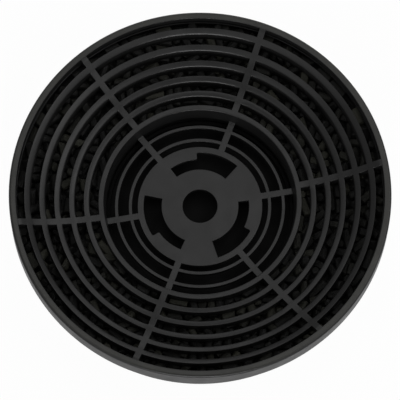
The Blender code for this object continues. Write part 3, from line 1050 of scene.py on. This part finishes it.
def bumped(tree, height, strength, distance, under=None):
    """A bumped normal, over an earlier one where there is one."""
    bump = add_node(tree, "ShaderNodeBump", Strength=strength, Distance=distance)
    tree.links.new(height, bump.inputs["Height"])
    if under is not None:
        tree.links.new(under, bump.inputs["Normal"])
    return bump.outputs["Normal"]


# %% [markdown]
# ## Moulded black plastic
#
# Moulded black plastic isn't one flat black. Its colour and its gloss drift a little, the mould's
# fine spark texture breaks up the shine, and flow marks leave faint waves. The rim's top is painted
# a little paler, as a painted highlight where the lit rim shows brighter. That painted highlight is
# bounded by radius and by height, so that it stays off the skirt and off the spokes.

# %% Moulded plastic
DRIFT_SCALE = 45.0
GLOSS_SCALE = 130.0
GRAIN_SCALE = 2600.0
GRAIN_DEPTH = 0.06 * MM
FLOW_SCALE = 240.0
FLOW_DEPTH = 0.1 * MM
FLOW_STRENGTH = 0.25
# The paler colour on the rim's top is a painted highlight.
RIM_HIGHLIGHT_SCALE = 60.0
RIM_HIGHLIGHT_RADII = (91.2 * MM, 92.4 * MM)
RIM_HIGHLIGHT_HEIGHTS = (RIM_TOP - 0.35 * MM, RIM_TOP - 0.02 * MM)
LEAST_RIM_HIGHLIGHT = 0.55
RIM_HIGHLIGHT_COLOUR = (0.026, 0.026, 0.0225, 1.0)


def rim_highlight_share(tree, coordinates):
    """0 on most of a moulding and about 1 on the rim's top, where a painted highlight pales it."""
    flat = add_node(tree, "ShaderNodeVectorMath", operation="MULTIPLY")
    flat.inputs[1].default_value = (1.0, 1.0, 0.0)
    tree.links.new(coordinates, flat.inputs[0])
    radius = add_node(tree, "ShaderNodeVectorMath", operation="LENGTH")
    tree.links.new(flat.outputs["Vector"], radius.inputs[0])
    split = add_node(tree, "ShaderNodeSeparateXYZ")
    tree.links.new(coordinates, split.inputs[0])
    outside = ramp(tree, radius.outputs["Value"], *RIM_HIGHLIGHT_RADII)
    high = ramp(tree, split.outputs["Z"], *RIM_HIGHLIGHT_HEIGHTS)
    uneven = ranged(tree, noise(tree, coordinates, RIM_HIGHLIGHT_SCALE, 4.0), LEAST_RIM_HIGHLIGHT, 1.0)
    return product(tree, product(tree, outside, high), uneven)


def moulded_plastic(name, dark, light, smooth, rough, texture, shine, painted_rim_highlight=False):
    """Black plastic with a spark-eroded mould texture; shine is 0.5 for a bare polished face."""
    material, tree, shader, coordinates = new_finish(name)
    drift = ranged(tree, noise(tree, coordinates, DRIFT_SCALE, 3.0), 0.0, 1.0)
    colour = blended(tree, drift, grey(dark), grey(light))
    # Painted highlight: the rim's top is made paler where the lit rim shows brighter.
    if painted_rim_highlight:
        colour = blended(tree, rim_highlight_share(tree, coordinates), colour, RIM_HIGHLIGHT_COLOUR)
    tree.links.new(colour, shader.inputs["Base Color"])
    gloss = ranged(tree, noise(tree, coordinates, GLOSS_SCALE, 4.0), smooth, rough)
    tree.links.new(gloss, shader.inputs["Roughness"])
    flow = bumped(tree, noise(tree, coordinates, FLOW_SCALE, 3.0), FLOW_STRENGTH, FLOW_DEPTH)
    grain = bumped(tree, noise(tree, coordinates, GRAIN_SCALE), texture, GRAIN_DEPTH, flow)
    tree.links.new(grain, shader.inputs["Normal"])
    shader.inputs["Specular IOR Level"].default_value = shine
    return material


# The cover carries the painted highlight on its rim's top.
cover_plastic = moulded_plastic(
    "cover_plastic", 0.0075, 0.0105, smooth=0.30, rough=0.40, texture=0.35, shine=0.36, painted_rim_highlight=True
)
shell_plastic = moulded_plastic(
    "shell_plastic", 0.0070, 0.0100, smooth=0.42, rough=0.54, texture=0.45, shine=0.36
)
# Painted shade: the chamber's floor is made darker and duller, so it shows dark through the hub's
# openings.
chamber_painted_shade = moulded_plastic(
    "chamber_painted_shade", 0.0018, 0.0045, smooth=0.65, rough=0.80, texture=0.60, shine=0.09
)
print("plastics", [finish.name for finish in (cover_plastic, shell_plastic, chamber_painted_shade)])

# %% [markdown]
# ## Pressed carbon
#
# Carbon is duller than the plastic, and crumbly. Each pellet carries its own shade as a mesh
# attribute. Most are near black and a few are paler with a slight olive tint, and faint patches of
# noise keep any one pellet from being flat.

# %% Pressed carbon
CARBON_DARK = grey(0.0090)
CARBON_PALE = (0.050, 0.050, 0.039, 1.0)
OWN_SHARE = 0.9
PATCH_SHARE = 0.1
PATCH_SCALE = 260.0
SHEEN_SCALE = 700.0
SHEEN_RANGE = (0.42, 0.75)
CRUMB_SCALE = 1900.0
CRUMB_DEPTH = 0.4 * MM
CRUMB_STRENGTH = 0.6


def pressed_carbon(name):
    """Dull black carbon with a crumbly surface."""
    material, tree, shader, coordinates = new_finish(name)
    patches = ranged(tree, noise(tree, coordinates, PATCH_SCALE, 4.0, 0.6), 0.0, PATCH_SHARE)
    own_shade = add_node(tree, "ShaderNodeAttribute", attribute_name="shade").outputs["Fac"]
    share = add_node(tree, "ShaderNodeMath", operation="MULTIPLY_ADD", use_clamp=True)
    tree.links.new(own_shade, share.inputs[0])
    share.inputs[1].default_value = OWN_SHARE
    tree.links.new(patches, share.inputs[2])
    colour = blended(tree, share.outputs[0], CARBON_DARK, CARBON_PALE)
    tree.links.new(colour, shader.inputs["Base Color"])
    sheen = ranged(tree, noise(tree, coordinates, SHEEN_SCALE, 3.0), *SHEEN_RANGE)
    tree.links.new(sheen, shader.inputs["Roughness"])
    crumbs = noise(tree, coordinates, CRUMB_SCALE, 5.0, 0.7)
    crumbled = bumped(tree, crumbs, CRUMB_STRENGTH, CRUMB_DEPTH)
    tree.links.new(crumbled, shader.inputs["Normal"])
    shader.inputs["Specular IOR Level"].default_value = 0.2
    return material


activated_carbon = pressed_carbon("activated_carbon")
print("carbon", activated_carbon.name)

# %% [markdown]
# ## Which piece wears what
#
# Each piece has one finish, but the tub's floor inside the hub's chamber is made darker and duller,
# as painted shade, so that it shows dark through the hub's openings.

# %% Give the pieces their finishes
CHAMBER_MARGIN = 0.05 * MM

for piece, material in (
    (front_moulding, cover_plastic),
    (rear_moulding, shell_plastic),
    (pellets_front, activated_carbon),
    (pellets_rear, activated_carbon),
    (bed_core, activated_carbon),
):
    piece.data.materials.clear()
    piece.data.materials.append(material)
    print(piece.name, "wears", material.name)


def in_chamber(face):
    """Whether a face of the rear moulding is inside the hub's dark chamber."""
    return face.center.z > FLOOR - CHAMBER_MARGIN and face.center.xy.length < WALL_INSIDE


# The faces inside the chamber take the painted shade.
rear_moulding.data.materials.append(chamber_painted_shade)
for face in rear_moulding.data.polygons:
    face.material_index = 1 if in_chamber(face) else 0
print("painted shade faces", sum(face.material_index for face in rear_moulding.data.polygons))

# %% [markdown]
# ## Stage and light
#
# A catalogue picture of a black thing on white is lit from all round by large soft lights. Black
# plastic shows only what it reflects, so each light's place sets the tone of the faces that lean
# its way: of the large ones, the one on the right is the strongest, and the one overhead sits to
# the far side, which leaves the near edge of the rim dark. A long, narrow, strong light low in
# front draws the thin bright lines along the far ribs' bevels. The floor is white to the camera and
# dimmer in reflections, and it takes a faint soft shadow.

# %% Floor
FLOOR_HALF = 6.0
FLOOR_DROP = 0.1 * MM
FLOOR_GREY = 0.8
SHADOW_SHARE = 0.03
REFLECTED_SHADOW_SHARE = 0.7


def make_floor_sheet():
    """A wide white floor that the filter lies on."""
    mesh = bmesh.new()
    bmesh.ops.create_grid(mesh, x_segments=1, y_segments=1, size=FLOOR_HALF)
    data = bpy.data.meshes.new("white_floor")
    mesh.to_mesh(data)
    mesh.free()
    sheet = bpy.data.objects.new("white_floor", data)
    sheet.location.z = -FLOOR_DROP
    bpy.context.scene.collection.objects.link(sheet)
    material = bpy.data.materials.new("white_floor")
    material.use_nodes = True
    tree = material.node_tree
    tree.nodes.clear()
    output = add_node(tree, "ShaderNodeOutputMaterial")
    matt = add_node(tree, "ShaderNodeBsdfDiffuse", Color=grey(FLOOR_GREY))
    white = add_node(tree, "ShaderNodeEmission", Color=grey(1.0), Strength=1.0)
    path = add_node(tree, "ShaderNodeLightPath")
    shader = matt
    for ray, share in (
        ("Is Glossy Ray", REFLECTED_SHADOW_SHARE),
        ("Is Camera Ray", SHADOW_SHARE),
    ):
        seen = add_node(tree, "ShaderNodeMixShader", Fac=1.0 - share)
        tree.links.new(matt.outputs[0], seen.inputs[1])
        tree.links.new(white.outputs[0], seen.inputs[2])
        mix = add_node(tree, "ShaderNodeMixShader")
        tree.links.new(path.outputs[ray], mix.inputs[0])
        tree.links.new(shader.outputs[0], mix.inputs[1])
        tree.links.new(seen.outputs[0], mix.inputs[2])
        shader = mix
    tree.links.new(shader.outputs[0], output.inputs["Surface"])
    data.materials.append(material)
    return sheet


white_floor = make_floor_sheet()
print("stage", white_floor.name)


# %% Lights
WORLD_STRENGTH = 0.28


def soft_light(name, size, power, towards):
    """An area light that shines at the filter from a direction in the picture's own axes."""
    light = bpy.data.lights.new(name, "AREA")
    light.shape = "RECTANGLE"
    light.size, light.size_y = size
    light.energy = power
    lamp = bpy.data.objects.new(name, light)
    place = Matrix.Rotation(-SPOKE_TURN, 3, "Z") @ Vector(towards)
    lamp.location = place
    lamp.rotation_mode = "QUATERNION"
    lamp.rotation_quaternion = place.to_track_quat("Z", "Y")
    bpy.context.scene.collection.objects.link(lamp)
    print("lamp", name, power, "W")


soft_light("overhead", (1.0, 0.8), 2.9, (0.0, 0.36, 1.76))
soft_light("right", (1.1, 1.0), 5.3, (1.27, 0.0, 1.27))
soft_light("right_far", (1.1, 1.0), 3.0, (0.9, 0.9, 1.27))
soft_light("right_near", (1.1, 1.0), 2.2, (0.9, -0.9, 1.27))
soft_light("left_far", (1.1, 1.0), 2.7, (-0.75, 1.02, 1.27))
soft_light("left_near", (1.1, 1.0), 2.4, (-0.9, -0.9, 1.27))
soft_light("low_far", (1.8, 0.7), 3.4, (0.35, 1.68, 0.56))
soft_light("low_near", (1.2, 0.24), 14.0, (0.0, -1.74, 0.40))

world = bpy.data.worlds.new("studio")
world.use_nodes = True
world.node_tree.nodes["Background"].inputs["Color"].default_value = grey(1.0)
world.node_tree.nodes["Background"].inputs["Strength"].default_value = WORLD_STRENGTH
bpy.context.scene.world = world
bpy.context.scene.view_settings.view_transform = "Standard"

# %% [markdown]
# ## Hand over
#
# Each piece rides on the imported body, and the imported nodes that it stands for are hidden. The
# table also lists the slot of each piece's finish, which nothing here reads.

# %% Ride and replace
for piece, node, slot in (
    (front_moulding, "front_cover", "cover_plastic"),
    (rear_moulding, "rear_shell", "shell_plastic"),
    (pellets_front, "carbon_bed", "activated_carbon"),
    (pellets_rear, "carbon_bed", "activated_carbon"),
    (bed_core, "carbon_bed", "activated_carbon"),
):
    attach(piece, "root")
    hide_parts(node)
